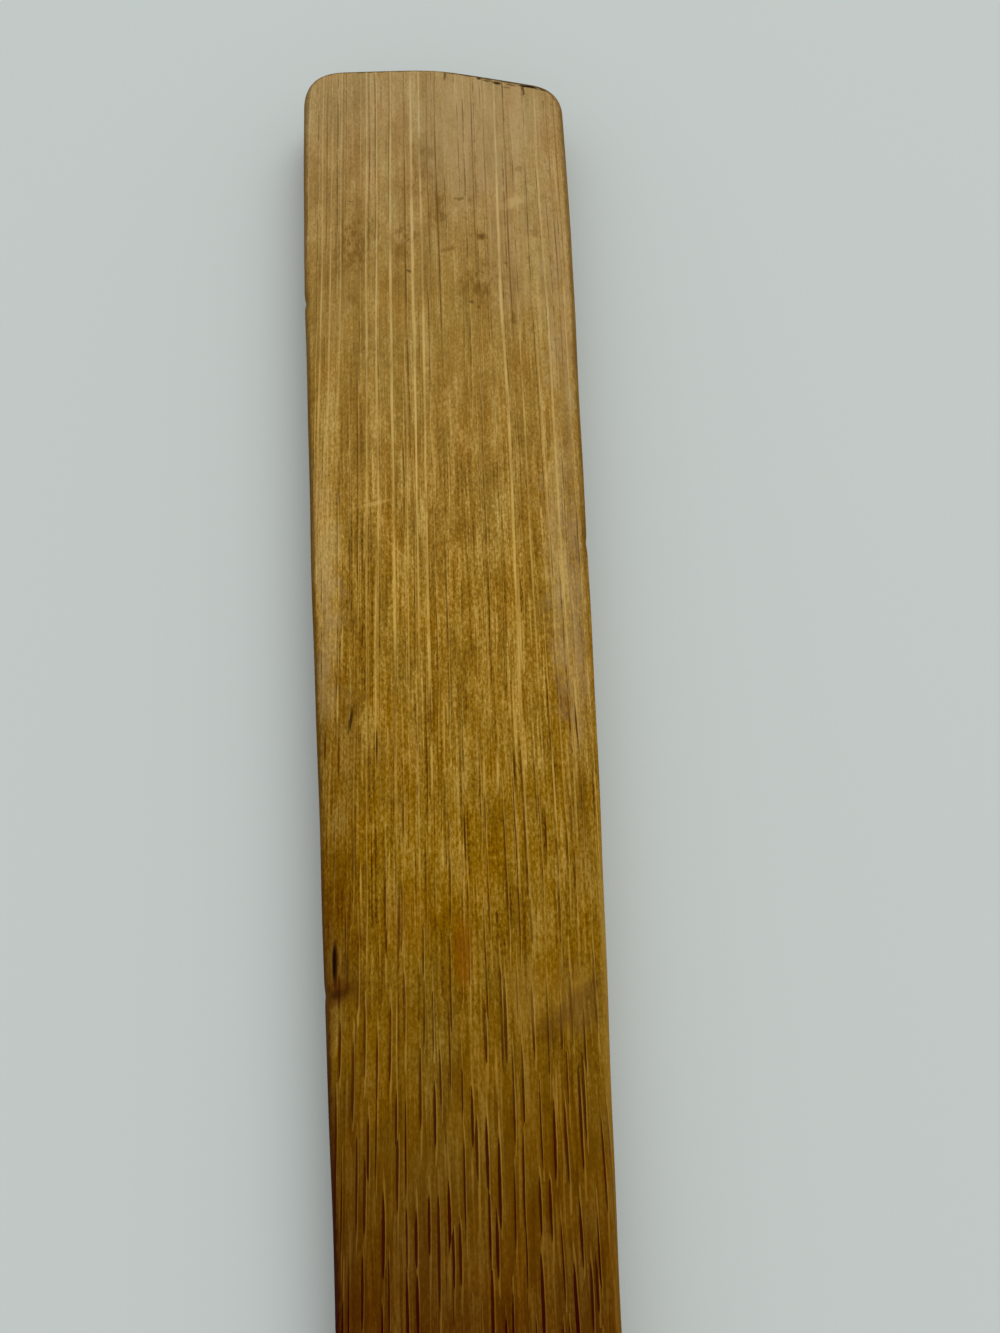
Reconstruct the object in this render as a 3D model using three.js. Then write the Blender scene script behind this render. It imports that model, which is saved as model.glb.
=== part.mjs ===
// A wok spatula cut whole from one strip of thick-walled bamboo, with nothing fixed to it.
// A maker saws and shapes the strip flat, then bends its neck and dishes its blade with heat.
// The model goes the same way: places are found on the flat strip first, as a station along it and
// a distance across it, and then the dish and the bend carry them to where they end up.
// Millimetres. X runs from the handle's end to the blade's tip, Z up out of the food side.
// The origin lies under the middle of the spatula, on the surface that the handle's back rests on.
import * as THREE from 'three';
import { LoftGeometry } from 'three/addons/geometries/LoftGeometry.js';

const { clamp, degToRad, lerp, mapLinear } = THREE.MathUtils;

// Stations along the strip, counted from the handle's end
const stripLength = 355;
const neckStation = 200;
const bladeFullStation = 306;
const bendStation = 204;
const bendLength = 80;

// Widths of the strip: the handle narrows down to the neck, and the blade flares out of it
const handleEndWidth = 30.4;
const neckWidth = 20.9;
const bladeWidth = 62;

// Thicknesses along the middle of the strip and along its sides, which are thinner because the
// back keeps some of the culm's roundness outside the flat that it rests on
const handleThickness = 7.2;
const handleSideThickness = 6.1;
const tipThickness = 1.7;
const tipSideThickness = 1.5;
const backFlatWidth = 12;

// How far the blade turns up from the handle, and how deep it is dished across its full width
const bendAngle = degToRad(11);
const dishDepth = 3.7;

// Radii of the worn long edges. Where the strip is thin they stay under this share of its side
const frontArris = 1.3;
const backArris = 2.4;
const arrisShare = 0.46;

// The handle's end is sawn a little off square, and on one half it falls back towards the side
const endTilt = degToRad(1);
const endSlant = degToRad(14.6);
const endSlantAcross = 0.6;
const endSlantBlend = 2.5;
const endSquareCorner = 5;
const endSlantCorner = 3.4;

// The tip is cut aslant with a slight belly, and its corner is rounder where it reaches further
const tipSlant = degToRad(9);
const tipBelly = 1.6;
const tipLongCorner = 19;
const tipShortCorner = 14;

// Steps of each stretch of the outline, and of the rows that cross the faces and the arrises
const outlineSteps = { end: 5, endCorner: 5, side: 46, tipCorner: 7, tip: 7 };
const rowSteps = { face: 4, arris: 3 };

// Share of its distance across by which the middle line runs ahead of a place on the outline
const spineLead = 0.4;

// Smooth step from 0 to 1 as the station goes from one value to another
function ease(station, from, to) {
  const share = clamp((station - from) / (to - from), 0, 1);
  return share * share * (3 - 2 * share);
}

function halfWidth(station) {
  const handleWidth = lerp(handleEndWidth, neckWidth, ease(station, 0, neckStation));
  return lerp(handleWidth, bladeWidth, ease(station, neckStation, bladeFullStation)) / 2;
}

// Height of the food side, which is flat on the handle and dished on the blade
function frontHeight(station, across) {
  const middle = lerp(handleThickness, tipThickness, ease(station, neckStation, stripLength));
  const dish = dishDepth * ease(station, neckStation, bladeFullStation);
  return middle + dish * (across / (bladeWidth / 2)) ** 2;
}

// Height of the back: nought on its flat, and rising towards the sides as the strip thins
function backHeight(station, across) {
  const thinning = ease(station, neckStation, stripLength);
  const middle = lerp(handleThickness, tipThickness, thinning);
  const side = lerp(handleSideThickness, tipSideThickness, thinning);
  const flat = backFlatWidth / 2;
  const beyondFlat = Math.max(Math.abs(across) - flat, 0) / (halfWidth(station) - flat);
  return frontHeight(station, across) - lerp(middle, side, beyondFlat ** 2);
}

// Edge of the handle's end: nearly straight across, then sloping back past a soft blend
function endEdge(across) {
  const past = across - endSlantAcross;
  const ramp = (past + Math.hypot(past, endSlantBlend)) / 2;
  return new THREE.Vector2(Math.tan(endTilt) * across + Math.tan(endSlant) * ramp, across);
}

// Edge of the tip: a slanted line, drawn in a little at both sides
function tipEdge(across) {
  const belly = tipBelly * (across / (bladeWidth / 2)) ** 2;
  return new THREE.Vector2(stripLength + Math.tan(tipSlant) * across - belly, across);
}

// Points along a curve given by a function of one value
function trace(from, to, steps, place) {
  return Array.from({ length: steps + 1 }, (_, step) => place(lerp(from, to, step / steps)));
}

// One half of the outline, from the middle of the handle's end to the middle of the tip.
// Each rounded corner takes its length from both of the edges that meet in it
function halfOutline(side, endCorner, tipCorner) {
  const sideEdge = (station) => new THREE.Vector2(station, side * halfWidth(station));
  const end = trace(0, side * (halfWidth(0) - endCorner), outlineSteps.end, endEdge);
  const endPeak = endEdge(side * halfWidth(0));
  const tipPeak = tipEdge(side * halfWidth(stripLength));
  const along = trace(endPeak.x + endCorner, tipPeak.x - tipCorner, outlineSteps.side, sideEdge);
  const tip = trace(side * (halfWidth(stripLength) - tipCorner), 0, outlineSteps.tip, tipEdge);
  const endRound = new THREE.QuadraticBezierCurve(end.at(-1), endPeak, along[0]);
  const tipRound = new THREE.QuadraticBezierCurve(along.at(-1), tipPeak, tip[0]);
  return [
    ...end.slice(0, -1),
    ...endRound.getPoints(outlineSteps.endCorner),
    ...along.slice(1, -1),
    ...tipRound.getPoints(outlineSteps.tipCorner),
    ...tip.slice(1),
  ];
}

// Where the middle line faces a pair of places on the two halves of the outline. It stays half a
// width away from both ends, as the ridge of a hipped roof does, so that the corners fan out of it
function spinePlace(near, far) {
  const station = (near.x + far.x) / 2;
  const across = (Math.abs(near.y) + Math.abs(far.y)) / 2;
  const along = station + spineLead * across * Math.cos((Math.PI * station) / stripLength);
  const first = halfWidth(0);
  const last = stripLength - halfWidth(stripLength);
  return new THREE.Vector2(mapLinear(along, 0, stripLength, first, last), 0);
}

// The bend carries a place up and back round an arc, and then on along the blade's straight part
function bent(station, across, height) {
  const radius = bendLength / bendAngle;
  const turn = clamp((station - bendStation) / radius, 0, bendAngle);
  const past = Math.max(station - bendStation - bendLength, 0);
  const alongX = Math.min(station, bendStation) + radius * Math.sin(turn) + past * Math.cos(turn);
  const alongZ = radius * (1 - Math.cos(turn)) + past * Math.sin(turn);
  return new THREE.Vector3(
    alongX - height * Math.sin(turn),
    across,
    alongZ + height * Math.cos(turn),
  );
}

// A point of the surface. Share goes from the middle line to the arris, and turn is how far the
// arris has come round, from nothing at the side of the strip to a right angle on its face
function surfacePoint(place, onFront, share, turn) {
  const { edge, inward, spine } = place;
  const height = onFront ? frontHeight : backHeight;
  const sideThickness = frontHeight(edge.x, edge.y) - backHeight(edge.x, edge.y);
  const radius = Math.min(onFront ? frontArris : backArris, arrisShare * sideThickness);
  const arris = inward.clone().multiplyScalar(radius * (1 - Math.cos(turn))).add(edge);
  const { x: station, y: across } = spine.clone().lerp(arris, share);
  const drop = radius * (1 - Math.sin(turn));
  return bent(station, across, height(station, across) + (onFront ? -drop : drop));
}

// Rings of points that go from the back's middle line out over the side to the food side's
function spatulaGeometry() {
  const left = halfOutline(-1, endSquareCorner, tipShortCorner);
  const right = halfOutline(1, endSlantCorner, tipLongCorner);
  const outline = [...left, ...right.slice(1, -1).reverse()];
  const places = outline.map((edge, index) => {
    const before = outline.at(index - 1);
    const after = outline[(index + 1) % outline.length];
    const inward = after.clone().sub(before).rotateAround(new THREE.Vector2(), Math.PI / 2);
    const pair = Math.min(index, outline.length - index);
    return { edge, inward: inward.normalize(), spine: spinePlace(left[pair], right[pair]) };
  });
  const onFace = Math.PI / 2;
  const facing = trace(0, 1, rowSteps.face, (share) => [share, onFace]);
  const rounding = trace(onFace, 0, rowSteps.arris, (turn) => [1, turn]).slice(1);
  const rows = [...facing, ...rounding];
  const back = rows.map(([share, turn]) => places.map((p) => surfacePoint(p, false, share, turn)));
  const front = rows.map(([share, turn]) => places.map((p) => surfacePoint(p, true, share, turn)));
  return new LoftGeometry([...back, ...front.reverse()]);
}

const geometry = spatulaGeometry();
geometry.computeBoundingBox();
const middle = geometry.boundingBox.getCenter(new THREE.Vector3());
geometry.translate(-middle.x, -middle.y, -geometry.boundingBox.min.z);

const bamboo = new THREE.MeshStandardMaterial({ color: 0x8c6c30, roughness: 0.62, metalness: 0 });
const spatula = new THREE.Mesh(geometry, bamboo);
spatula.name = 'spatula';

const part = new THREE.Group();
part.add(spatula);

export default part;
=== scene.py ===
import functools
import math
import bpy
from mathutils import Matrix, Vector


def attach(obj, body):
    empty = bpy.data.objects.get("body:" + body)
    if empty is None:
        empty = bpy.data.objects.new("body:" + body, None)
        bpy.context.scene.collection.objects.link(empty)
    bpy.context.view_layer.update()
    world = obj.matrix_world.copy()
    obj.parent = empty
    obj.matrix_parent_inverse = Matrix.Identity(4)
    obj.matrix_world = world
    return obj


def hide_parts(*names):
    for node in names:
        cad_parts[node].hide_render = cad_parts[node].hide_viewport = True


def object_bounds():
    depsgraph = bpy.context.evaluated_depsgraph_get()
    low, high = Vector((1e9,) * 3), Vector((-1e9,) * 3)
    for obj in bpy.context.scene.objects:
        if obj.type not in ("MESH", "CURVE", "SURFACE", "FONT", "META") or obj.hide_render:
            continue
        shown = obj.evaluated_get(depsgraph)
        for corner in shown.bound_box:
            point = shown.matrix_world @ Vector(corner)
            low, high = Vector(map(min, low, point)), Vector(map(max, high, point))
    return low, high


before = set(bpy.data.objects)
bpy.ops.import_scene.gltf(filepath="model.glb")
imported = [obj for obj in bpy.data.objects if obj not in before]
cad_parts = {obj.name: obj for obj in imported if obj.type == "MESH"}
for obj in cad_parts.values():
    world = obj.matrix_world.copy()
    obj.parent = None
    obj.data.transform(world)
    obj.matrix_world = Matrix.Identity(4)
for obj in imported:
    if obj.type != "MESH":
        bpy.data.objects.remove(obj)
# The looks of a one-piece bamboo wok spatula, laid on its back on a pale surface and seen from
# above its handle. Lengths are written in millimetres and turned to metres where they meet Blender.
import types

import bpy
import numpy as np
from mathutils import Matrix, Vector

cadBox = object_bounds()
mm = 0.001


def addNode(tree, kind, sockets=None, stops=(), **settings):
    # A node with its settings. A socket takes a value, another node's socket, or a node for its
    # first output in use, and is given by its name or number. Stops are a colour ramp's.
    node = tree.nodes.new("ShaderNode" + kind)
    for name, value in settings.items():
        setattr(node, name, value)
    for name, value in (sockets or {}).items():
        byName = [s for s in node.inputs if s.enabled and s.name == name]
        socket = byName[0] if byName else node.inputs[name]
        if isinstance(value, bpy.types.Node):
            value = [s for s in value.outputs if s.enabled][0]
        if isinstance(value, bpy.types.NodeSocket):
            tree.links.new(value, socket)
        else:
            socket.default_value = value
    for number, (position, colour) in enumerate(stops):
        ramp = node.color_ramp.elements
        stop = ramp[number] if number < 2 else ramp.new(position)
        stop.position = position
        stop.color = colour
    return node


def linear(hexColour):  # sRGB hex to linear: ((c + 0.055) / 1.055) ^ 2.4 above the toe, c / 12.92 in it
    parts = [int(hexColour[i:i + 2], 16) / 255 for i in (1, 3, 5)]
    return tuple(c / 12.92 if c <= 0.04045 else ((c + 0.055) / 1.055) ** 2.4 for c in parts) + (1.0,)


camera = {
    "lens": 27.2,  # a phone's main camera, on a 36 mm wide long side
    "longSide": 36,
    "nearest": 5,  # nothing closer than this is drawn
    "fromEnd": 103.6,  # along the handle, from its end to below the camera
    "aside": 4.2,  # from the handle's middle line towards +Y
    "above": 92.8,  # over the handle's face
    "tilt": 17.1,  # degrees that it looks back towards the handle's end
    "roll": 87.64,  # degrees, close to a right angle because the handle stands upright in the picture
    "skew": -0.6,  # degrees between the photograph's upright and the handle's middle line
}


def addCamera(faceHeight):
    data = bpy.data.cameras.new("camera")
    data.lens = camera["lens"]
    data.sensor_width = camera["longSide"]
    data.clip_start = camera["nearest"] * mm
    turn = Matrix.Rotation(math.radians(camera["skew"]), 4, "Z")
    turn = turn @ Matrix.Rotation(math.radians(camera["tilt"]), 4, "Y")
    turn = turn @ Matrix.Rotation(math.radians(camera["roll"]), 4, "Z")
    place = Vector((camera["fromEnd"], camera["aside"], faceHeight + camera["above"])) * mm
    place.x += cadBox[0].x
    eye = bpy.data.objects.new("camera", data)
    eye.matrix_world = Matrix.Translation(place) @ turn
    bpy.context.scene.collection.objects.link(eye)
    bpy.context.scene.camera = eye


strip = {  # the driving sizes of the solid that this surface stands for, in mm and degrees
    # stations along it, counted from the handle's end, and the bend
    "length": 355, "neck": 200, "bladeFull": 306, "bend": 204, "bendLength": 80, "bendAngle": 11,
    # widths, thicknesses along the middle and the sides, and the blade's dish
    "endWidth": 30.4, "neckWidth": 20.9, "bladeWidth": 62,
    "handleThickness": 7.2, "handleSide": 6.1, "tipThickness": 1.7, "tipSide": 1.5,
    "backFlat": 12, "dish": 3.7,
    # radii of the long edges, and the most that they take of the side's thickness
    "frontArris": 1.3, "backArris": 2.4, "arrisShare": 0.46,
    # the handle's end and the tip: how they slant, and how long their corners are
    "endTilt": 1.0, "endSlant": 14.6, "endSlantAcross": 0.6, "endSlantBlend": 2.5,
    "squareCorner": 5.0, "slantCorner": 3.4,
    "tipSlant": 9, "tipBelly": 1.6, "longCorner": 19, "shortCorner": 14,
    "spineLead": 0.4,  # how fast points of the middle line move in from both ends with the outline's across
}
steps = {"end": 44, "endCorner": 18, "handle": 420, "blade": 190, "tipCorner": 26, "tip": 40,
         "face": 22, "arris": 8}
crowding = 0.8  # a power below 1, which brings the face's rows closer together towards its rim


def ease(station, start, stop):  # 3 x^2 - 2 x^3, with x the share of the way from start to stop
    x = np.clip((station - start) / (stop - start), 0, 1)
    return x * x * (3 - 2 * x)


def mix(a, b, share):
    return a + (b - a) * share


def halfWidth(station):  # the handle eases down to the neck, and the blade eases out of it
    handleWidth = mix(strip["endWidth"], strip["neckWidth"], ease(station, 0, strip["neck"]))
    return mix(handleWidth, strip["bladeWidth"], ease(station, strip["neck"], strip["bladeFull"])) / 2


def frontHeight(station, across):  # the middle's thickness, plus a dish that grows as across squared
    thinning = ease(station, strip["neck"], strip["length"])
    middle = mix(strip["handleThickness"], strip["tipThickness"], thinning)
    dish = strip["dish"] * ease(station, strip["neck"], strip["bladeFull"])
    return middle + dish * (across / (strip["bladeWidth"] / 2)) ** 2


def backHeight(station, across):  # the front, less a thickness that falls off past the back's flat
    thinning = ease(station, strip["neck"], strip["length"])
    middle = mix(strip["handleThickness"], strip["tipThickness"], thinning)
    side = mix(strip["handleSide"], strip["tipSide"], thinning)
    flat = strip["backFlat"] / 2
    beyond = np.maximum(np.abs(across) - flat, 0) / (halfWidth(station) - flat)
    return frontHeight(station, across) - mix(middle, side, beyond ** 2)


def endEdge(across):  # a line a little off square that slopes back past a soft knee
    past = across - strip["endSlantAcross"]
    ramp = (past + np.hypot(past, strip["endSlantBlend"])) / 2
    tilt, slant = (math.tan(math.radians(strip[name])) for name in ("endTilt", "endSlant"))
    return np.stack([tilt * across + slant * ramp, across], -1)


def tipEdge(across):  # a slanted line, less a belly that grows as across squared
    belly = strip["tipBelly"] * (across / (strip["bladeWidth"] / 2)) ** 2
    slant = math.tan(math.radians(strip["tipSlant"])) * across
    return np.stack([strip["length"] + slant - belly, across], -1)


def roundCorner(start, corner, stop, count):  # quadratic Bezier: (1-t)^2 a + 2t(1-t) b + t^2 c
    t = np.linspace(0, 1, count + 1)[1:-1, None]
    return (1 - t) ** 2 * start + 2 * t * (1 - t) * corner + t ** 2 * stop


def halfOutline(side, endCorner, tipCorner):  # from the middle of the end, along one side, to the tip's
    endWidth, tipWidth = halfWidth(0.0), halfWidth(strip["length"])
    end = endEdge(side * np.linspace(0, endWidth - endCorner, steps["end"] + 1))
    tip = tipEdge(side * np.linspace(tipWidth - tipCorner, 0, steps["tip"] + 1))
    endPeak, tipPeak = endEdge(side * endWidth), tipEdge(side * tipWidth)
    station = np.concatenate([
        np.linspace(endPeak[0] + endCorner, strip["neck"], steps["handle"] + 1),
        np.linspace(strip["neck"], tipPeak[0] - tipCorner, steps["blade"] + 1)[1:],
    ])
    along = np.stack([station, side * halfWidth(station)], -1)
    return np.concatenate([
        end, roundCorner(end[-1], endPeak, along[0], steps["endCorner"]),
        along, roundCorner(along[-1], tipPeak, tip[0], steps["tipCorner"]), tip,
    ])


def spineStations(left, right):
    # The middle line that each pair of outline points fans out from. It stays half a width away
    # from both ends: from first to last in the share that station + lead * across * cos(pi *
    # station / length) takes of the length
    station = (left[:, 0] + right[:, 0]) / 2
    across = (np.abs(left[:, 1]) + np.abs(right[:, 1])) / 2
    along = station + strip["spineLead"] * across * np.cos(math.pi * station / strip["length"])
    first, last = halfWidth(0.0), strip["length"] - halfWidth(strip["length"])
    return mix(first, last, along / strip["length"])


def bent(station, across, height):  # round an arc by turn, then straight on; height stays square to it
    angle = math.radians(strip["bendAngle"])
    radius = strip["bendLength"] / angle
    turn = np.clip((station - strip["bend"]) / radius, 0, angle)
    past = np.maximum(station - strip["bend"] - strip["bendLength"], 0)
    x = np.minimum(station, strip["bend"]) + radius * np.sin(turn) + past * np.cos(turn)
    z = radius * (1 - np.cos(turn)) + past * np.sin(turn)
    return np.stack([x - height * np.sin(turn), across, z + height * np.cos(turn)], -1)


handwork = {  # what the plane and years of use took off the outline, in mm
    "planed": 0.10,  # off both sides, from none at the first of the next two stations to all at the second
    "planedFrom": (18, 50),
    # side, height, wavelength and phase of each slow wave
    "waver": [(-1, 0.03, 38, 0.0), (-1, 0.02, 17, 0.0), (1, 0.08, 80, 4.1), (1, 0.02, 17, 4.2)],
    "waverWhole": 12,  # how far from the middle line the waves are whole
    # station, side, depth and half length of each nick
    "nicks": [(31.8, -1, 0.18, 0.5), (104.3, -1, 0.08, 0.6), (62.0, 1, 0.10, 0.7), (171.0, 1, 0.25, 1.1),
              (338.0, -1, 0.35, 1.6)],
}


def wornOutline(outline):
    # How far in each point is worn: a soft step, plus sines along the station, plus nicks as
    # depth * exp(-(distance / half length)^2). Each sine fades out towards the middle line
    station, across = outline.T
    inset = handwork["planed"] * ease(station, *handwork["planedFrom"])
    for side, height, wave, phase in handwork["waver"]:
        onSide = np.clip(side * across / handwork["waverWhole"], 0, 1)
        inset = inset + onSide * height * np.sin(2 * math.pi * station / wave + phase)
    for at, side, depth, reach in handwork["nicks"]:
        inset = inset + depth * np.exp(-((station - at) / reach) ** 2) * (np.sign(across) == side)
    return np.maximum(inset, 0)


def flatPlaces():
    # For each row and outline point: station, across, height, distance from the edge, share of the
    # way from back to front, and how far it faces along the fibres. Rows go from the back's middle
    # line out over the side and in again. A face's point is spine + (rim - spine) * share, and an
    # arris is a quarter circle: radius * (1 - cos(turn)) in from the edge, and radius *
    # (1 - sin(turn)) from the face's height towards the other face
    left = halfOutline(-1, strip["squareCorner"], strip["shortCorner"])
    right = halfOutline(1, strip["slantCorner"], strip["longCorner"])
    outline = np.concatenate([left, right[-2:0:-1]])
    half = spineStations(left, right)
    spine = np.stack([np.concatenate([half, half[-2:0:-1]]), np.zeros(len(outline))], -1)
    tangent = np.roll(outline, -1, 0) - np.roll(outline, 1, 0)
    inward = np.stack([-tangent[:, 1], tangent[:, 0]], -1)
    inward /= np.linalg.norm(inward, axis=1, keepdims=True)
    side = frontHeight(*outline.T) - backHeight(*outline.T)
    worn = wornOutline(outline)
    share = np.linspace(0, 1, steps["face"] + 1) ** crowding
    turn = np.linspace(math.pi / 2, 0, steps["arris"] + 1)[1:]
    share = np.concatenate([share, np.ones(steps["arris"])])
    turn = np.concatenate([np.full(steps["face"] + 1, math.pi / 2), turn])
    faces = []
    for arris, heightOf, onFront in (("backArris", backHeight, False), ("frontArris", frontHeight, True)):
        radius = np.minimum(strip[arris], strip["arrisShare"] * side)
        inset = radius[None] * (1 - np.cos(turn))[:, None]
        rim = outline[None] + (inset + worn[None])[..., None] * inward[None]
        flat = spine[None] + (rim - spine[None]) * share[:, None, None]
        drop = radius[None] * (1 - np.sin(turn))[:, None]
        height = heightOf(flat[..., 0], flat[..., 1]) + (-drop if onFront else drop)
        edge = inset + np.linalg.norm(rim - flat, axis=-1)
        through = np.broadcast_to(drop / radius[None] / 2, height.shape)
        through = 1 - through if onFront else through
        sawn = np.abs(inward[:, 0])[None] * np.cos(turn)[:, None]
        faces.append(np.stack([flat[..., 0], flat[..., 1], height, edge, through, sawn], -1))
    return np.concatenate([faces[0], faces[1][::-1]])


def gridMesh(name, points):  # rows of closed rings; the first and last row fold shut on their middle line
    rows, ring = points.shape[:2]
    index = np.arange(rows * ring).reshape(rows, ring)
    folded = np.minimum(np.arange(ring), ring - np.arange(ring))
    index[0] = index[0][folded]
    index[-1] = index[-1][folded]
    ahead = np.roll(index, -1, 1)
    quads = np.stack([index[:-1], ahead[:-1], ahead[1:], index[1:]], -1).reshape(-1, 4)
    used, quads = np.unique(quads, return_inverse=True)
    mesh = bpy.data.meshes.new(name)
    mesh.from_pydata(points.reshape(-1, 3)[used], [], quads.reshape(-1, 4))
    mesh.shade_smooth()
    return mesh, used


def pinValues(mesh, name, values, used):  # a vector for each point, which the material reads by name
    attribute = mesh.attributes.new(name, "FLOAT_VECTOR", "POINT")
    attribute.data.foreach_set("vector", values.reshape(-1, 3)[used].ravel().astype(np.float32))


culm = {  # how the strip was sawn out of the culm
    "skew": 0.7,  # degrees between the fibres and the strip's middle line
    "dive": [(0, 0.010), (94, 0.060), (205, -0.035)],  # station, and how much steeper the cut is past it
    "diveBlend": 7,  # mm, how softly it steepens
    "sway": [(0.07, 19, 0.0, 0.6), (0.04, 7, 0.5, 0.0)],  # size, length, lean and phase of slow waves
}


def fibrePlaces(station, across, height):
    # Where a point lies among the culm's fibres: across them, through the wall, and along them.
    # The face leaves the fibres slowly at the end and steeply past the middle of the handle, so it
    # cuts a bundle as a long line at first and as a short dash further on. Each dive is a soft ramp,
    # slope * blend * ln(1 + e^((station - start) / blend)), and each sway is
    # size * sin(station / length + lean * across + phase)
    blend = culm["diveBlend"]
    depth = height
    for start, slope in culm["dive"]:
        depth = depth + slope * blend * np.logaddexp(0, (station - start) / blend)
    aside = across + math.tan(math.radians(culm["skew"])) * station
    for size, length, lean, phase in culm["sway"]:
        aside = aside + size * np.sin(station / length + lean * across + phase)
    return np.stack([aside, depth, station], -1)


def makeSpatula(material):
    station, across, height, edge, through, sawn = np.moveaxis(flatPlaces(), -1, 0)
    points = bent(station, across, height) * mm
    points[..., 0] += cadBox[0].x - points[..., 0].min()
    mesh, used = gridMesh("spatula_bamboo", points)
    pinValues(mesh, "fibre", fibrePlaces(station, across, height), used)
    pinValues(mesh, "place", np.stack([across, edge, station], -1), used)
    pinValues(mesh, "wall", np.stack([through, height, sawn], -1), used)
    mesh.materials.append(material)
    piece = bpy.data.objects.new("spatula_bamboo", mesh)
    bpy.context.scene.collection.objects.link(piece)
    print("  faces:", len(mesh.polygons))
    return piece


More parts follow.
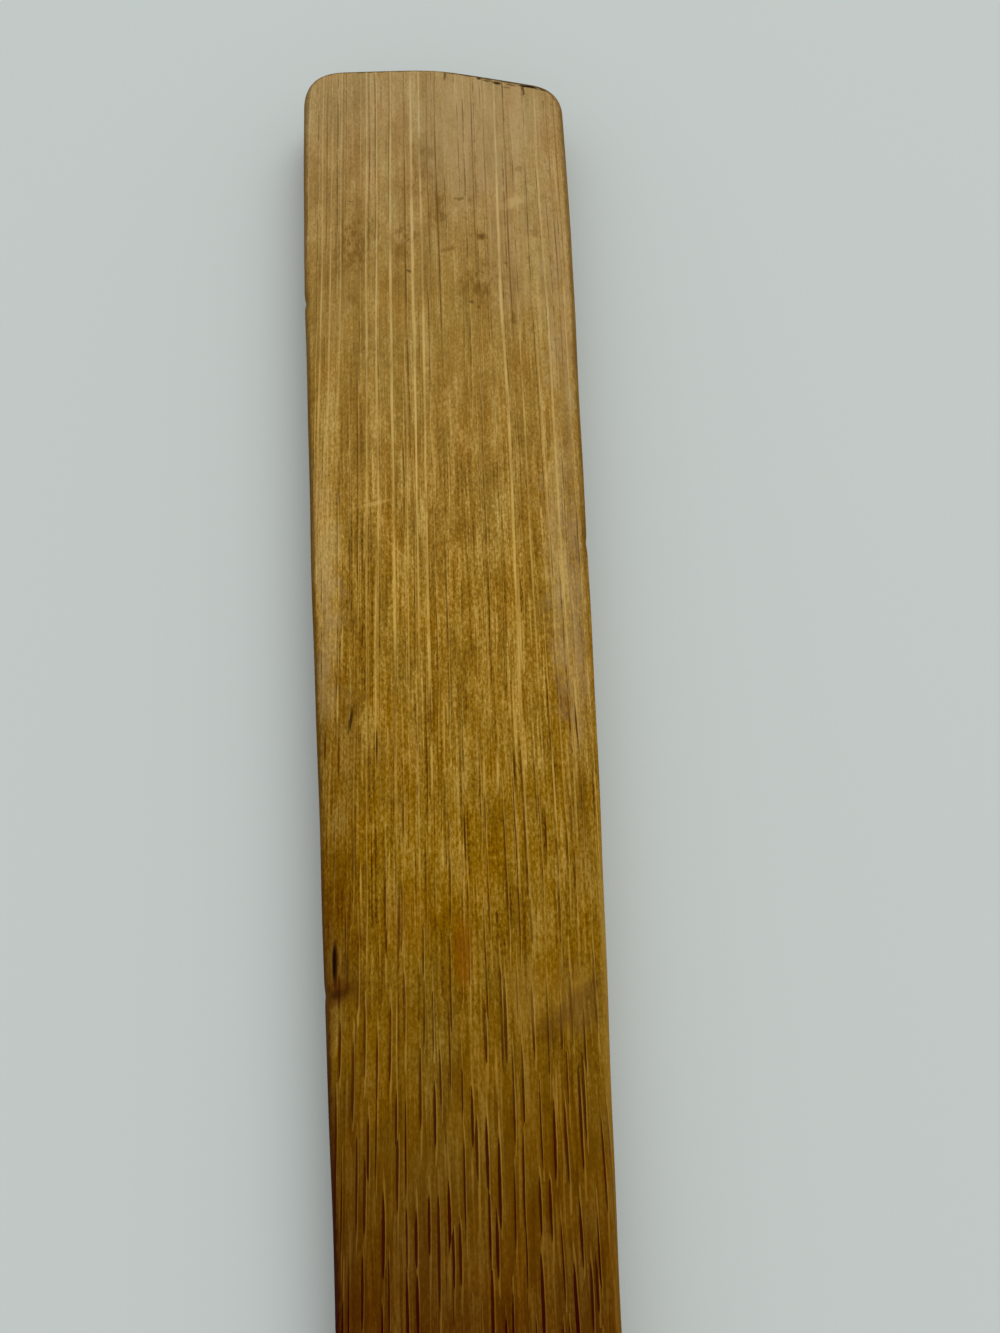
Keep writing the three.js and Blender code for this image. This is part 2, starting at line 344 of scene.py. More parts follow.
# Bamboo, planed along its fibres, oiled, and worn by hands and heat. It is pale and dry at the
# handle's end and soaked dark towards the blade, with painted shade that darkens it further near
# station 130. Bundles of fibres run through a softer ground: each shows as a pale sheath, painted lit
# on one side and shaded on the other, with dark vessels in it, long where the cut is along it and
# short where the cut crosses it.
bamboo = {
    "tones": {  # sRGB, fixed or by station
        # dry at the end, soaked dark before the neck, and rubbed paler towards the tip; in these three tones,
        # the darkest stop at station 130 is partly painted shade
        "ground": [(5, "#9d804e"), (32, "#957434"), (67, "#8e681a"), (92, "#835e02"), (108, "#735104"),
                   (130, "#522e00"), (240, "#62400a"), (352, "#7a5926")],
        "sheath": [(5, "#bfa776"), (67, "#c5a352"), (100, "#aa863a"), (130, "#7c5818"), (352, "#9a7c4a")],
        "vessel": [(5, "#6b5024"), (67, "#4e3000"), (100, "#482200"), (130, "#2e0000"), (352, "#2c0c00")],
        "oil": "#66430a",  # where hands or food left dark blotches
        "amber": "#864d02",  # browned by heat
        "tan": "#ab9266",  # dry and rubbed
        "soot": "#1a0802",
    },
    "cells": {  # mm across, through and along the fibres, of each noise in the wood
        "pins": (0.22, 1.2, 10), "grain": (0.19, 0.2, 0.42), "cloud": (2.6, 2.6, 6.5),
        "bands": (1.7, 3.3, 60), "ragged": (0.20, 0.20, 1.1), "patchy": (0.9, 9, 6),
        "curdled": (0.45, 0.5, 1.0), "broken": (0.45, 0.6, 2.6), "patches": (11, 11, 26),
        "hue": (3.2, 4, 9), "mottled": (0.50, 0.6, 0.75),
    },
    "fineness": {"Detail": 4.0, "Roughness": 0.65},  # of all those noises
    "strand": (0.19, 0.5, 6),  # mm, single strands, most of which keep the ground's tone
    "strandTone": [(0.0, 0.10), (0.22, 0.46), (0.78, 0.54), (1.0, 0.90)],
    "swing": (0.2, 0.8),  # a noise's values that stand for the vessels' tone and for the sheaths' tone
    "shows": {  # station, and how strongly each noise shows in the ground there
        "strand": [(0, 0.12), (35, 0.16), (62, 0.36), (92, 0.40), (118, 0.22), (352, 0.30)],
        "pins": [(0, 0.20), (35, 0.24), (62, 0.34), (92, 0.36), (118, 0.26), (352, 0.30)],
        "grain": [(0, 0.45), (35, 0.52), (62, 0.85), (92, 0.90), (104, 0.75), (118, 0.32), (352, 0.60)],
        "cloud": [(0, 0.35), (20, 0.45), (62, 0.50), (98, 0.55), (118, 0.35), (352, 0.45)],
        "bands": [(0, 0.36), (352, 0.36)],
        "patches": [(140, 0.0), (240, 0.5), (352, 0.8)],
    },
    "patterns": {  # a noise, two of its values, and what the pattern is worth at each of them
        "patchy": ("patchy", 0.35, 0.60, 0.3, 1.0),
        "uneven": ("patchy", 0.35, 0.65, 0.45, 1.35),  # strength of the sheaths
        "whole": ("broken", 0.44, 0.56, 0.0, 1.0),  # where a broken line comes back
        "ragged": ("ragged", 0.0, 1.0, -0.35, 0.35),  # vessel radii, of the bundles' outlines
        "curdled": ("curdled", 0.46, 0.58, 0.2, 1.0),  # as the grain breaks up a blotch
        "spotted": ("mottled", 0.55, 0.68, 0.0, 1.0),
        "frayed": ("curdled", 0.0, 1.0, -0.4, 0.4),  # mm, of the rims' band of grime, painted shade and painted sheen
        "strayed": ("patches", 0.0, 1.0, -22, 22),  # mm, of the scraped band on the blade
        "hue": ("hue", 0.3, 0.7, 0.4945, 0.5055),
        "saturation": ("hue", 0.3, 0.7, 1.02, 0.98),
        "roughness": ("cloud", 0.3, 0.7, 0.50, 0.66),
    },
    "zones": {  # a measure, and its values where the zone is nought and whole
        "front": ("through", 0.8, 0.95), "right": ("across", -1.0, 1.0), "end": ("station", 8.0, 6.0),
        "crossed": ("sawn", 0.5, 0.8), "blade": ("station", 270, 335), "scratched": ("station", 215, 260),
    },
    "bundles": [
        # mm between bundles; the wall's depths where none and all of them show; half width and half
        # height of the vessels at the end and at the neck; how pale the sheaths and how dark the
        # vessels show; and how much of each line is broken off
        {"spacing": (1.12, 0.52), "depths": (3, 4.5), "width": (0.072, 0.113), "height": (0.13, 0.215),
         "pale": (0.50, 0.66), "dark": (0.7, 1.0), "gaps": (1.0, 0.0)},
        {"spacing": (0.6, 0.5), "depths": (4.5, 3), "width": (0.05, 0.07), "height": (0.12, 0.14),
         "pale": (0.42, 0.25), "dark": (0.65, 0.8), "gaps": (1.0, 0.3)},
    ],
    "scatter": 0.85,  # how far bundles lie out of even rows, up to 1
    "weakest": 0.88,  # strength of the faintest bundle
    "swollen": 2.3,  # width of a bundle's dot in the end grain, against its line's
    "girth": (0.55, 1.25),  # width of the thinnest and thickest, against the common one
    "ripening": (84, 115),  # the stations between which the bundles change
    "rings": {"vessel": (0.9, 1.08), "inner": (0.95, 1.2), "outer": (1.6, 2.0)},  # in vessel radii
    "sides": (-0.8, 0.4, -0.4, 1.0),  # radii across where a sheath is painted shaded and painted lit, and how strongly
    "spots": [(4, 0.2), (20, 0.6), (42, 0.6), (75, 0.3), (110, 0.0)],  # station, and how dark they are there
    "rimWidth": (0.35, 0.75),  # mm, the edge band of grime, painted shade and painted sheen, whole up to the first and gone past the second
    # station and strength, on each side of the strip, of grime with painted shade on the rims, and of a pale
    # painted sheen
    "grimeAndShade": {"left": [(0, 0.8), (85, 0.7), (110, 0.9), (240, 0.9), (330, 0.3)],
              "right": [(0, 0.8), (50, 0.6), (78, 0.0), (200, 0.0), (240, 0.9), (330, 0.3)]},
    "paintedSheen": {"left": [(0, 0.0), (352, 0.0)], "right": [(85, 0.0), (100, 0.4), (180, 0.4), (240, 0.0)]},
    # mm from the blade's edge where it starts and where it is whole, and its share of the colour
    "wear": {"scraped": (16, 4, 0.6), "scorched": (1.5, 0.4, 0.7)},
    # how they lie to the strip's middle line, width and length in mm, the values of their noise
    # between which they come in, and their share of the colour
    "scratches": {"degrees": (24, -38, 7), "size": (0.13, 11), "shown": (0.60, 0.72), "share": 0.5,
                  "detail": 1.0},
    "gloss": 0.01,  # oil has soaked in, so little of it lies on the surface
    "relief": 0.05,  # mm, depth of the vessels' grooves, and what other heights are counted in
    "heights": {"grain": 0.35, "sheath": 0.3, "vessel": -1.0, "crack": -2.0},
    "bump": 0.8,  # how strongly the relief shades the surface
}
wiggles = {  # a noise's cells in mm, how far it shifts points from end to end of its range, and its detail
    "grown": {"cells": (2, 10, 25), "shift": (0.5, 1.3, 0), "detail": 2.0},
    "blotched": {"cells": (2.0, 2.0, 2.6), "shift": (4.5, 0, 6.0), "detail": 3.0},
    "specked": {"cells": (0.5, 0.5, 0.5), "shift": (0.9, 0, 0.9), "detail": 3.0},
    "chipped": {"cells": (0.8, 0.8, 0.8), "shift": (0.4, 0, 0.6), "detail": 3.0},
}
markKinds = {  # in the order they are laid on: tone, wiggle of the outline, and a pattern that breaks it up
    "tan": ("tan", "blotched", "patchy"),  # dry and rubbed
    "shade": ("vessel", "blotched", None),  # soft and wide darkening: partly painted shade, mostly along the left margin and near station 130, and partly darker wood
    "smear": ("vessel", "specked", None),
    "amber": ("amber", "specked", None),
    "stain": ("oil", "blotched", "curdled"),
    "speck": ("oil", "specked", None),
    "pale": ("sheath", "grown", "patchy"),  # the boldest lines
    "dark": ("vessel", "grown", "patchy"),
    "slit": ("vessel", "grown", None),  # short and sharp, where a vessel has broken open
    "scuff": ("sheath", "grown", "patchy"),
    "black": ("soot", "grown", None),
}
marks = {  # across the fibres, station, half width, half length, degrees, strength
    "tan": [
        (-12.8, 67.0, 2.4, 14.0, 0, 0.48), (12.6, 66.0, 2.2, 16.0, 0, 0.45),
        (13.4, 33.0, 2.0, 17.0, 0, 0.50), (8.4, 27.0, 3.0, 10.0, 0, 0.35), (5.5, 10.0, 6.5, 11.0, 0, 0.60)],
    "shade": [
        (-10.9, 99.5, 1.0, 6.0, 0, 0.60), (-10.6, 88.0, 2.8, 16.0, 0, 0.34),
        (-10.4, 99.0, 2.4, 9.0, 0, 0.42), (12.2, 91.0, 1.6, 6.0, 0, 0.22),
        (-9.2, 126.0, 2.6, 18.0, 0, 0.30), (-3.6, 128.0, 5.0, 12.0, 0, 0.17),
        (-11.6, 33.0, 2.6, 7.0, 0, 0.17), (-1.4, 15.4, 1.6, 3.0, 0, 0.14)],
    "smear": [
        (-10.0, 104.0, 1.6, 1.0, -12, 0.85), (-11.0, 104.2, 0.6, 1.4, 0, 0.85),
        (-9.4, 102.6, 0.3, 1.6, 0, 0.40), (10.9, 106.0, 0.8, 3.0, 50, 0.60),
        (11.4, 107.0, 1.4, 1.6, 50, 0.35), (8.6, 108.0, 1.1, 1.2, 50, 0.35)],
    "amber": [(1.2, 101.2, 0.8, 3.2, 0, 0.45), (-3.8, 98.0, 2.2, 3.0, 0, 0.15)],
    "stain": [
        (-8.8, 25.4, 2.4, 4.4, 20, 0.62), (-3.2, 24.2, 1.2, 2.0, 0, 0.60), (0.9, 20.5, 0.8, 2.4, 0, 0.50),
        (5.2, 31.0, 3.0, 2.8, -15, 0.50), (-5.6, 38.0, 3.0, 3.0, 0, 0.35), (-1.2, 14.6, 1.5, 3.8, 0, 0.45),
        (-10.0, 103.8, 1.9, 2.2, 0, 0.50), (0.5, 60.0, 2.0, 3.0, 0, 0.3), (-9.0, 79.0, 1.2, 2.6, 0, 0.5),
        (-4.5, 84.0, 2.6, 4.0, 0, 0.3), (6.5, 89.0, 2.4, 3.0, 0, 0.25)],
    "speck": [
        (5.4, 24.9, 0.6, 0.4, 0, 0.65), (1.1, 22.0, 0.4, 0.7, 0, 0.5), (1.4, 26.4, 0.8, 0.25, -15, 0.5),
        (5.0, 32.0, 0.8, 0.9, 0, 0.40), (4.6, 34.0, 0.25, 0.2, 0, 0.7), (8.4, 35.7, 0.25, 0.8, 0, 0.6),
        (3.0, 19.8, 0.4, 0.25, 0, 0.55), (4.1, 19.9, 0.35, 0.3, 0, 0.4), (9.8, 15.9, 0.6, 0.4, 0, 0.35),
        (11.3, 24.7, 0.5, 0.8, 0, 0.40), (-9.1, 32.3, 0.6, 0.8, 0, 0.35), (-3.6, 26.3, 0.8, 1.2, 0, 0.50)],
    "pale": [
        (-12.5, 40, 0.10, 55, 0, 0.6), (-11.5, 30, 0.09, 30, 0, 0.5), (-10.4, 24, 0.09, 26, 0, 0.5),
        (-7.5, 46, 0.12, 56, 0, 0.6), (-6.4, 38, 0.11, 42, 0, 0.7), (-4.8, 40, 0.14, 50, 0, 0.9),
        (-2.4, 34, 0.14, 44, 0, 0.9), (-1.4, 36, 0.12, 46, 0, 0.8), (7.3, 44, 0.13, 50, 0, 0.9),
        (12.0, 44, 0.11, 44, 0, 0.7), (9.0, 56, 0.09, 30, 0, 0.6), (10.8, 58, 0.09, 26, 0, 0.6),
        (-3.4, 58, 0.09, 22, 0, 0.6),
        (-1.5, 70, 0.10, 7, 0, 0.9), (-4.9, 69, 0.11, 6, 0, 0.9), (-6.6, 73, 0.11, 10, 0, 0.9),
        (7.5, 70, 0.10, 5, 0, 0.9), (6.6, 80, 0.09, 4, 0, 0.8), (-0.2, 81, 0.09, 4, 0, 0.9),
        (4.8, 85, 0.10, 2, 0, 1.0), (-10.3, 78, 0.09, 2, 0, 0.8), (3.5, 87, 0.12, 4, 0, 1.0),
        (6.3, 89, 0.08, 2, 0, 0.9), (9.9, 87, 0.09, 4, 0, 0.9), (-1.4, 84, 0.08, 3, 0, 0.8),
        (-8.0, 96, 0.08, 3, 0, 0.9), (-4.8, 107, 0.08, 3, 0, 0.7), (3.6, 111, 0.11, 2, 0, 0.9),
        (8.9, 113, 0.10, 2, 0, 0.9)],
    "dark": [
        (-12.0, 18, 0.08, 18, 0, 0.7), (-10.15, 12, 0.08, 20, 0, 0.7), (-7.2, 16, 0.08, 22, 0, 0.7),
        (-4.95, 12, 0.08, 14, 0, 0.8), (-3.1, 22, 0.08, 26, 0, 0.7), (-0.5, 18, 0.08, 22, 0, 0.7),
        (0.5, 22, 0.10, 22, 0, 1.0), (4.6, 22, 0.08, 26, 0, 0.8), (6.0, 20, 0.07, 24, 0, 0.6),
        (8.3, 20, 0.08, 24, 0, 0.8), (13.4, 24, 0.07, 26, 0, 0.7), (14.2, 18, 0.07, 16, 0, 0.7)],
    "slit": [
        (-11.5, 82, 0.10, 1.6, 0, 1.0), (-10.1, 83, 0.08, 2.2, 0, 0.9), (-6.5, 82, 0.10, 1.6, 0, 1.0),
        (-1.4, 79, 0.07, 3.0, 0, 0.8), (12.3, 81, 0.08, 2.0, 0, 0.9), (6.4, 85, 0.08, 1.6, 0, 1.0),
        (1.6, 91, 0.09, 2.4, 0, 1.0), (3.5, 89, 0.08, 2.0, 0, 0.9), (8.9, 91, 0.08, 2.2, 0, 1.0),
        (13.6, 88, 0.08, 2.6, 0, 0.9), (-5.7, 100, 0.10, 1.4, 0, 1.0), (-4.6, 98, 0.07, 3.2, 0, 0.8),
        (-10.2, 102, 0.17, 2.6, 0, 1.0), (-9.9, 104, 0.14, 1.4, 0, 1.0)],
    "scuff": [
        (-7.0, 57.0, 2.4, 0.22, -12, 0.40), (-4.2, 62.5, 2.2, 0.14, 48, 0.40),
        (8.8, 20.6, 1.7, 0.7, -22, 0.50), (-3.0, 63.5, 1.4, 0.12, 40, 0.30),
        (10.8, 105.5, 2.2, 3.0, 0, 0.30), (6.4, 105.0, 1.6, 3.0, 0, 0.25)],
    "black": [
        (-14.35, 31.8, 0.35, 0.45, 0, 0.8), (-10.35, 101.5, 0.20, 1.8, 0, 1.0),
        (-11.2, 104.1, 0.45, 0.9, 0, 0.65), (-10.0, 104.2, 0.9, 0.35, -8, 0.40),
        (-9.2, 102.4, 0.12, 2.0, 0, 0.35), (-9.0, 79.5, 0.18, 1.2, 8, 0.8),
        (5.35, 24.9, 0.28, 0.25, 0, 0.3), (2.6, 19.6, 0.5, 0.16, 0, 0.25), (-2.8, 29.0, 0.3, 0.14, 30, 0.5),
        (-9.3, 19.3, 0.4, 0.08, 15, 0.4), (7.9, 28.6, 0.2, 0.2, 0, 0.4), (3.9, 33.4, 0.3, 0.2, 20, 0.5)],
}
chips = [  # across, distance inside the end's edge, half width, half length, degrees, strength
    (11.3, 1.06, 1.1, 0.26, 0, 1.0), (12.8, 0.84, 0.9, 0.16, 0, 0.9), (7.65, 1.34, 0.5, 0.24, 0, 0.9),
    (6.6, 1.15, 0.8, 0.12, 0, 0.6), (5.6, 0.98, 0.28, 0.22, 0, 0.9), (9.3, 1.20, 0.7, 0.14, 0, 0.6),
    (8.7, 1.75, 0.5, 0.14, 0, 0.4), (10.7, 1.8, 0.13, 0.8, 0, 0.7), (12.9, 2.5, 0.12, 0.4, 0, 0.6),
    (13.35, 2.6, 0.10, 0.45, 0, 0.6), (1.6, 1.2, 0.16, 0.8, 0, 0.6),
    (7.5, 0.68, 7.0, 0.28, 0, 0.80), (-7.0, 0.64, 7.5, 0.24, 0, 0.60)]
markFade = (1.4, 0.5)  # where a mark or a chip is gone and where it is whole, in its half sizes


def toned(value):  # a colour from sRGB hex, or a grey from a number
    return linear(value) if isinstance(value, str) else (value,) * 3 + (1.0,)


def alongStrip(stops):  # a colour ramp's stops, from stations with a colour or a number at each
    return [(at / strip["length"], toned(value)) for at, value in stops]


def strayed(node, points, place, wiggle):
    # Points moved about by a soft noise of their place: point + shift * (noise - 0.5)
    spread = node("VectorMath", {0: place, 1: wiggle["cells"]}, operation="DIVIDE")
    stray = node("TexNoise", {"Vector": spread, "Scale": 1.0, "Detail": wiggle["detail"]}).outputs["Color"]
    stray = node("VectorMath", {0: stray, 1: (0.5, 0.5, 0.5)}, operation="SUBTRACT")
    return node("VectorMath", {0: stray, 1: wiggle["shift"], 2: points}, operation="MULTIPLY_ADD")


def woodNoises(node, fibre):
    # Noises stretched along the fibres, and one random tone for each strand
    noises = {}
    for name, size in bamboo["cells"].items():
        spread = node("VectorMath", {0: fibre, 1: size}, operation="DIVIDE")
        noises[name] = node("TexNoise", {"Vector": spread, "Scale": 1.0, **bamboo["fineness"]})
    spread = node("VectorMath", {0: fibre, 1: bamboo["strand"]}, operation="DIVIDE")
    cells = node("TexVoronoi", {"Vector": spread, "Scale": 1.0})
    luck = node("SeparateColor", {"Color": cells.outputs["Color"]}).outputs["Blue"]
    tones = [(at, toned(tone)) for at, tone in bamboo["strandTone"]]
    noises["strand"] = node("ValToRGB", {"Fac": luck}, tones)
    return noises


def readWood(tree):
    # What the colours are worked out from: places on the surface and among the fibres, zones, tones
    # along the strip, noises, and the patterns made of them. The fibres stray as they grow, so
    # bundles rise into the face and sink again
    node = functools.partial(addNode, tree)
    grown, place, wall = (node("Attribute", attribute_name=name).outputs["Vector"]
                          for name in ("fibre", "place", "wall"))
    across, edge, station = node("SeparateXYZ", {"Vector": place}).outputs
    through, _, sawn = node("SeparateXYZ", {"Vector": wall}).outputs
    along = node("Math", {0: station, 1: strip["length"]}, operation="DIVIDE")
    fibre = strayed(node, grown, grown, wiggles["grown"])
    wood = types.SimpleNamespace(node=node, place=place, across=across, edge=edge, station=station,
                                 along=along, fibre=fibre, noises=woodNoises(node, fibre))
    wood.points = {"grown": fibre}
    for name in ("blotched", "specked"):
        wood.points[name] = strayed(node, fibre, fibre, wiggles[name])
    measures = {"across": across, "station": station, "through": through, "sawn": sawn}
    wood.zones = {}
    for name, (measure, start, stop) in bamboo["zones"].items():
        wood.zones[name] = node("MapRange", {"Value": measures[measure], "From Min": start, "From Max": stop})
    wood.tones = {}
    for name, tone in bamboo["tones"].items():
        fixed = isinstance(tone, str)
        wood.tones[name] = linear(tone) if fixed else node("ValToRGB", {"Fac": along}, alongStrip(tone))
    wood.patterns = {}
    for name, (noise, low, high, least, most) in bamboo["patterns"].items():
        wood.patterns[name] = node("MapRange", {"Value": wood.noises[noise], "From Min": low,
                                                "From Max": high, "To Min": least, "To Max": most})
    return wood


def groundColour(wood):
    # The ground leans towards the sheaths' tone where the sum of its noises is above nought, and
    # towards the vessels' where it is below
    node = wood.node
    low, high = bamboo["swing"]
    tone = 0.0
    for name, stops in bamboo["shows"].items():
        share = node("ValToRGB", {"Fac": wood.along}, alongStrip(stops))
        swing = node("MapRange", {"Value": wood.noises[name], "From Min": low, "From Max": high,
                                  "To Min": -1.0}, clamp=False)
        tone = node("Math", {0: swing, 1: share, 2: tone}, operation="MULTIPLY_ADD")
    colour = wood.tones["ground"]
    for name, sign in (("sheath", 1.0), ("vessel", -1.0)):
        lean = node("Math", {0: tone, 1: sign}, operation="MULTIPLY", use_clamp=True)
        colour = node("Mix", {"Factor": lean, "A": colour, "B": wood.tones[name]}, data_type="RGBA")
    return colour


def bundles(wood, layer):
    # Cells of a flat Voronoi pattern in the culm's cross-section, one bundle in each. Distance from
    # the bundle is taken in vessel radii, as the length of (x / half width, y / half height). Where
    # the saw cut square through them, the dots are wider. Gives how much sheath and vessel show
    node, patterns = wood.node, wood.patterns
    cell = (*layer["spacing"], 1)
    packed = node("VectorMath", {0: wood.fibre, 1: cell}, operation="DIVIDE")
    cells = node("TexVoronoi", {"Vector": packed, "Scale": 1.0, "Randomness": bamboo["scatter"]},
                 voronoi_dimensions="2D", feature="F1")
    local = node("VectorMath", {0: packed, 1: cells.outputs["Position"]}, operation="SUBTRACT")
    local = node("VectorMath", {0: local, 1: cell}, operation="MULTIPLY")
    local = node("SeparateXYZ", {"Vector": local})
    luck = node("SeparateColor", {"Color": cells.outputs["Color"]})
    start, stop = bamboo["ripening"]
    ripe = {}
    for name in ("width", "height", "pale", "dark", "gaps"):
        atEnd, atNeck = layer[name]
        ripe[name] = node("MapRange", {"Value": wood.station, "From Min": start, "From Max": stop,
                                       "To Min": atEnd, "To Max": atNeck})
    thin, thick = bamboo["girth"]
    girth = node("MapRange", {"Value": luck.outputs["Blue"], "To Min": thin, "To Max": thick})
    swollen = node("Mix", {"Factor": wood.zones["crossed"], "A": 1.0, "B": bamboo["swollen"]},
                   data_type="FLOAT")
    for share in (ripe["width"], swollen):
        girth = node("Math", {0: girth, 1: share}, operation="MULTIPLY")
    x = node("Math", {0: local.outputs["X"], 1: girth}, operation="DIVIDE")
    y = node("Math", {0: local.outputs["Y"], 1: ripe["height"]}, operation="DIVIDE")
    away = node("CombineXYZ", {"X": x, "Y": y})
    away = node("VectorMath", {0: away}, operation="LENGTH").outputs["Value"]
    away = node("Math", {0: away, 1: patterns["ragged"]}, operation="ADD")

    within = {}
    for name, (full, gone) in bamboo["rings"].items():
        within[name] = node("MapRange", {"Value": away, "From Min": gone, "From Max": full},
                            interpolation_type="SMOOTHSTEP")
    sheath = node("Math", {0: within["outer"], 1: within["inner"]}, operation="SUBTRACT", use_clamp=True)
    # A sheath is painted lit on one side and painted shaded on the other, and its shaded side darkens like a
    # vessel
    start, stop, shaded, lit = bamboo["sides"]
    side = node("MapRange", {"Value": x, "From Min": start, "From Max": stop, "To Min": shaded,
                             "To Max": lit})
    sheath = node("Math", {0: sheath, 1: side}, operation="MULTIPLY")
    depth = node("SeparateXYZ", {"Vector": wood.fibre}).outputs["Y"]
    none, every = layer["depths"]
    here = node("MapRange", {"Value": depth, "From Min": none, "From Max": every})
    whole = node("Mix", {"Factor": ripe["gaps"], "A": 1.0, "B": patterns["whole"]}, data_type="FLOAT")
    shown = []
    for ring, name, chance, left in ((sheath, "pale", "Red", patterns["uneven"]),
                                     (within["vessel"], "dark", "Green", whole)):
        lucky = node("MapRange", {"Value": luck.outputs[chance], "To Min": bamboo["weakest"]})
        for share in (lucky, ripe[name], here, left):
            ring = node("Math", {0: ring, 1: share}, operation="MULTIPLY")
        shown.append(ring)
    sheath, vessel = shown
    shade = node("Math", {0: sheath, 1: -1.0}, operation="MULTIPLY", use_clamp=True)  # painted shade on its dark side
    return sheath, node("Math", {0: vessel, 1: shade}, operation="MAXIMUM")


def withBundles(wood, colour):  # both layers of bundles, and the relief that they and the grain have
    node, heights = wood.node, bamboo["heights"]
    relief = node("Math", {0: wood.noises["grain"], 1: heights["grain"]}, operation="MULTIPLY")
    for layer in bamboo["bundles"]:
        for name, mask in zip(("sheath", "vessel"), bundles(wood, layer)):
            colour = node("Mix", {"Factor": mask, "A": colour, "B": wood.tones[name]}, data_type="RGBA")
            relief = node("Math", {0: mask, 1: heights[name], 2: relief}, operation="MULTIPLY_ADD")
    return colour, relief


def withSpots(wood, colour):  # small spots of dried food, darker where the cloudy noise is high
    node = wood.node
    mask = wood.patterns["spotted"]
    share = node("ValToRGB", {"Fac": wood.along}, alongStrip(bamboo["spots"]))
    for over in (share, wood.zones["front"], wood.noises["cloud"]):
        mask = node("Math", {0: mask, 1: over}, operation="MULTIPLY")
    return node("Mix", {"Factor": mask, "A": colour, "B": wood.tones["oil"]}, data_type="RGBA")


def markMask(node, points, spots, over):
    # The most of all spots: each is 1 inside an ellipse in the points' X and Z, turned by its
    # degrees, and fades over its rim. All are then weakened by what is over them
    gone, whole = markFade
    most = 0.0
    for across, station, width, length, angle, strength in spots:
        spot = points
        if angle:
            spot = node("VectorRotate", {"Vector": points, "Center": (across, 0, station),
                                         "Angle": math.radians(angle)}, rotation_type="Y_AXIS")
        away = node("VectorMath", {0: spot, 1: (1 / width, 0, 1 / length),
                                   2: (-across / width, 0, -station / length)}, operation="MULTIPLY_ADD")
        away = node("VectorMath", {0: away}, operation="LENGTH").outputs["Value"]
        inside = node("MapRange", {"Value": away, "From Min": gone, "From Max": whole, "To Max": strength},
                      interpolation_type="SMOOTHSTEP")
        most = node("Math", {0: inside, 1: most}, operation="MAXIMUM")
    for share in over:
        most = node("Math", {0: most, 1: share}, operation="MULTIPLY")
    return most


def withMarks(wood, colour, kind):
    tone, wiggle, pattern = markKinds[kind]
    over = [wood.patterns[pattern]] if pattern else []
    mask = markMask(wood.node, wood.points[wiggle], marks[kind], over + [wood.zones["front"]])
    return wood.node("Mix", {"Factor": mask, "A": colour, "B": wood.tones[tone]}, data_type="RGBA")


def withWear(wood, colour):  # a wok wore the blade: dry and pale near its rim, and scorched along it
    node = wood.node
    strayedEdge = node("Math", {0: wood.edge, 1: wood.patterns["strayed"]}, operation="ADD")
    for kind, away, tone in (("scraped", strayedEdge, "sheath"), ("scorched", wood.edge, "vessel")):
        start, whole, most = bamboo["wear"][kind]
        mask = node("MapRange", {"Value": away, "From Min": start, "From Max": whole, "To Max": most})
        mask = node("Math", {0: mask, 1: wood.zones["blade"]}, operation="MULTIPLY")
        colour = node("Mix", {"Factor": mask, "A": colour, "B": wood.tones[tone]}, data_type="RGBA")
    return colour


def withScratches(wood, colour):  # long thin noises, turned by their degrees, on the blade's food side
    node, scratches = wood.node, bamboo["scratches"]
    wide, long = scratches["size"]
    low, high = scratches["shown"]
    mask = 0.0
    for degrees in scratches["degrees"]:
        askew = node("VectorRotate", {"Vector": wood.place, "Angle": math.radians(degrees)},
                     rotation_type="Y_AXIS")
        askew = node("VectorMath", {0: askew, 1: (1 / wide, 0, 1 / long)}, operation="MULTIPLY")
        line = node("TexNoise", {"Vector": askew, "Scale": 1.0, "Detail": scratches["detail"]})
        line = node("MapRange", {"Value": line, "From Min": low, "From Max": high,
                                 "To Max": scratches["share"]})
        mask = node("Math", {0: line, 1: mask}, operation="MAXIMUM")
    for share in (wood.zones["scratched"], wood.zones["front"], wood.patterns["patchy"]):
        mask = node("Math", {0: mask, 1: share}, operation="MULTIPLY")
    return node("Mix", {"Factor": mask, "A": colour, "B": wood.tones["sheath"]}, data_type="RGBA")


def withRim(wood, colour):
    # The rounded edges: grime and painted shade on one side, and on the other grime and painted shade at
    # first and then a pale painted sheen
    node = wood.node
    whole, gone = bamboo["rimWidth"]
    away = node("Math", {0: wood.edge, 1: wood.patterns["frayed"]}, operation="ADD")
    rim = node("MapRange", {"Value": away, "From Min": gone, "From Max": whole})
    # grime with painted shade on the rims, then a pale painted sheen on the right rim
    for kind, tone in (("grimeAndShade", "vessel"), ("paintedSheen", "sheath")):
        left, right = (node("ValToRGB", {"Fac": wood.along}, alongStrip(bamboo[kind][side]))
                       for side in ("left", "right"))
        much = node("Mix", {"Factor": wood.zones["right"], "A": left, "B": right}, data_type="RGBA")
        much = node("Math", {0: rim, 1: much}, operation="MULTIPLY")
        colour = node("Mix", {"Factor": much, "A": colour, "B": wood.tones[tone]}, data_type="RGBA")
    return colour


def withCrack(wood, colour, relief):  # a crack along the end, and chips on its slanted half
    node = wood.node
    inside = node("CombineXYZ", {"X": wood.across, "Z": wood.edge})
    inside = strayed(node, inside, wood.place, wiggles["chipped"])
    crack = markMask(node, inside, chips, [wood.zones["front"], wood.zones["end"]])
    colour = node("Mix", {"Factor": crack, "A": colour, "B": wood.tones["soot"]}, data_type="RGBA")
    relief = node("Math", {0: crack, 1: bamboo["heights"]["crack"], 2: relief}, operation="MULTIPLY_ADD")
    return colour, relief


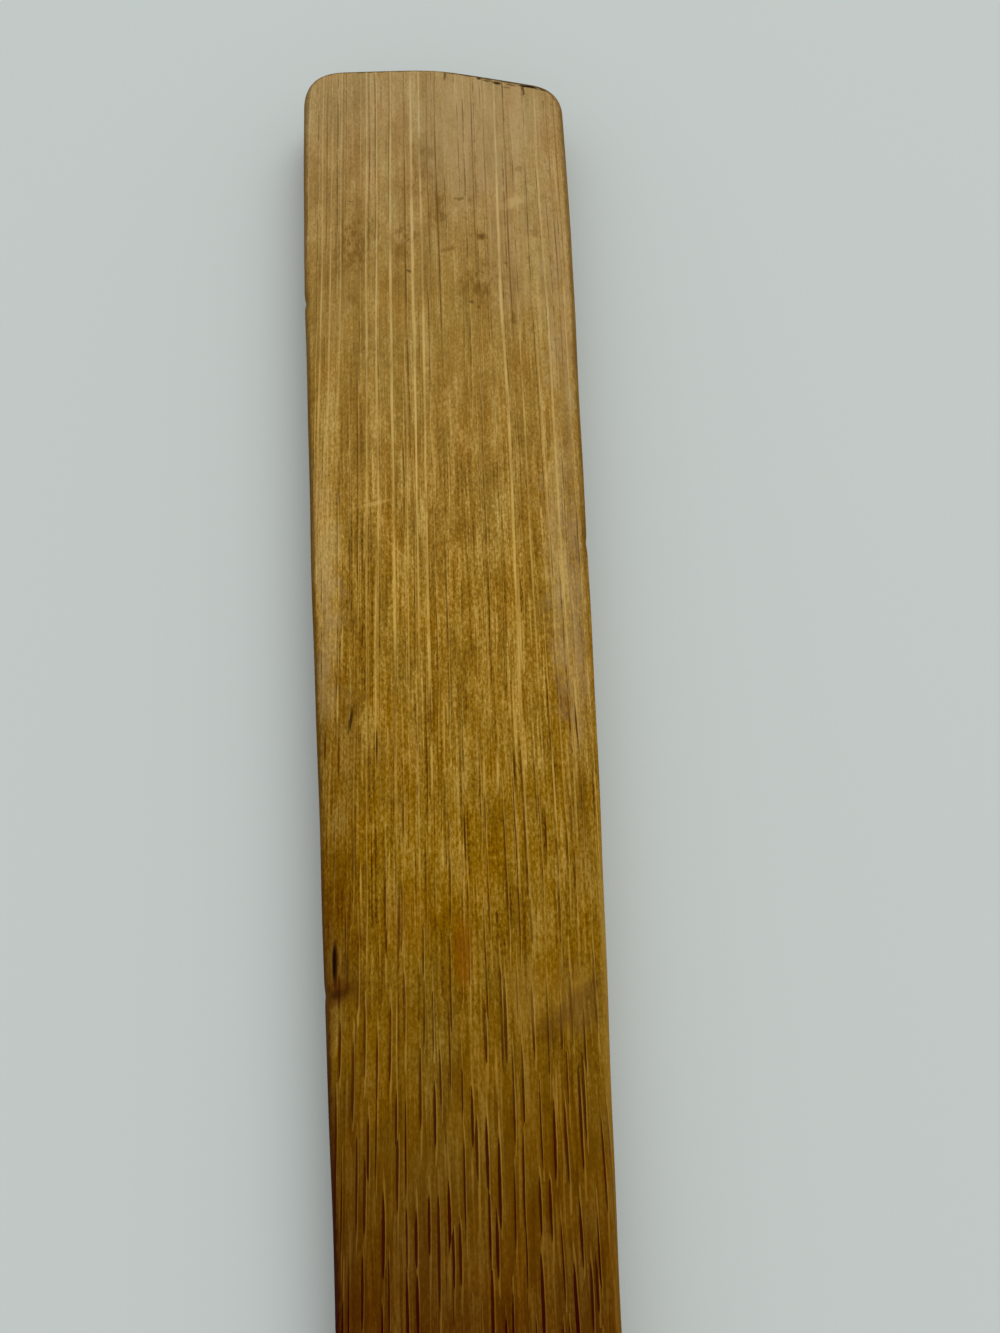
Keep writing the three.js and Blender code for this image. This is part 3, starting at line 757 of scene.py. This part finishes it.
def bambooMaterial():
    material = bpy.data.materials.new("oiled planed bamboo")
    material.use_nodes = True
    material.node_tree.nodes.clear()
    wood = readWood(material.node_tree)
    node, patterns = wood.node, wood.patterns
    underneath, *onTop = markKinds  # the bundles' lines still show on the first kind
    colour = withMarks(wood, groundColour(wood), underneath)
    colour, relief = withBundles(wood, colour)
    colour = withSpots(wood, colour)
    for kind in onTop:
        colour = withMarks(wood, colour, kind)
    colour = withScratches(wood, withWear(wood, colour))
    colour, relief = withCrack(wood, withRim(wood, colour), relief)
    # oil and smoke turn the hue a little from place to place
    colour = node("HueSaturation", {"Hue": patterns["hue"], "Saturation": patterns["saturation"],
                                    "Color": colour})
    normal = node("Bump", {"Height": relief, "Distance": bamboo["relief"] * mm,
                           "Strength": bamboo["bump"]})
    shader = node("BsdfPrincipled", {"Base Color": colour, "Normal": normal,
                                     "Roughness": patterns["roughness"],
                                     "Specular IOR Level": bamboo["gloss"]})
    node("OutputMaterial", {"Surface": shader})
    return material


studio = {
    "floor": "#bfc6c3",
    "floorRoughness": 0.7,
    "floorGloss": 0.2,
    "beyond": "#c3cac7",  # what lies past the floor, for the camera only: the floor as lit
    "reach": 4000,  # mm, from the middle of the floor to its sides
    "world": 0.74,  # strength of the even light from all round
    "key": 1.2,  # W/m2, of the light that gives the shadow
    "keyAngle": 48,  # degrees, so that the shadow's edge is soft
    "keyFrom": (-0.85, 0.55, 1.1),  # a direction
}


def addFloor():
    reach = studio["reach"] * mm
    corners = [(-reach, -reach, 0), (reach, -reach, 0), (reach, reach, 0), (-reach, reach, 0)]
    mesh = bpy.data.meshes.new("floor")
    mesh.from_pydata(corners, [], [(0, 1, 2, 3)])
    floor = bpy.data.objects.new("floor", mesh)
    bpy.context.scene.collection.objects.link(floor)
    # Laminate, pressed matt: it takes a soft shadow and shows next to no highlight
    paint = bpy.data.materials.new("pale matt laminate")
    paint.use_nodes = True
    paint.node_tree.nodes.clear()
    node = functools.partial(addNode, paint.node_tree)
    shader = node("BsdfPrincipled", {"Base Color": linear(studio["floor"]),
                                     "Roughness": studio["floorRoughness"],
                                     "Specular IOR Level": studio["floorGloss"]})
    node("OutputMaterial", {"Surface": shader})
    mesh.materials.append(paint)


def addLight():
    world = bpy.data.worlds.new("studio")
    bpy.context.scene.world = world
    world.use_nodes = True
    world.node_tree.nodes.clear()
    node = functools.partial(addNode, world.node_tree)
    light = node("Background", {"Color": (1, 1, 1, 1), "Strength": studio["world"]})
    beyond = node("Background", {"Color": linear(studio["beyond"]), "Strength": 1.0})
    seen = node("LightPath").outputs["Is Camera Ray"]
    node("OutputWorld", {"Surface": node("MixShader", {0: seen, 1: light, 2: beyond})})

    sun = bpy.data.lights.new("key", "SUN")
    sun.energy = studio["key"]
    sun.angle = math.radians(studio["keyAngle"])
    key = bpy.data.objects.new("key", sun)
    key.matrix_world = Vector(studio["keyFrom"]).to_track_quat("Z", "Y").to_matrix().to_4x4()
    bpy.context.scene.collection.objects.link(key)


print("stage 1: the camera")
addCamera(strip["handleThickness"])

print("stage 2: the spatula and its bamboo")
spatula = makeSpatula(bambooMaterial())
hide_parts("spatula")
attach(spatula, "root")

print("stage 3: the floor and the light")
addFloor()
addLight()
bpy.context.scene.view_settings.view_transform = "Standard"
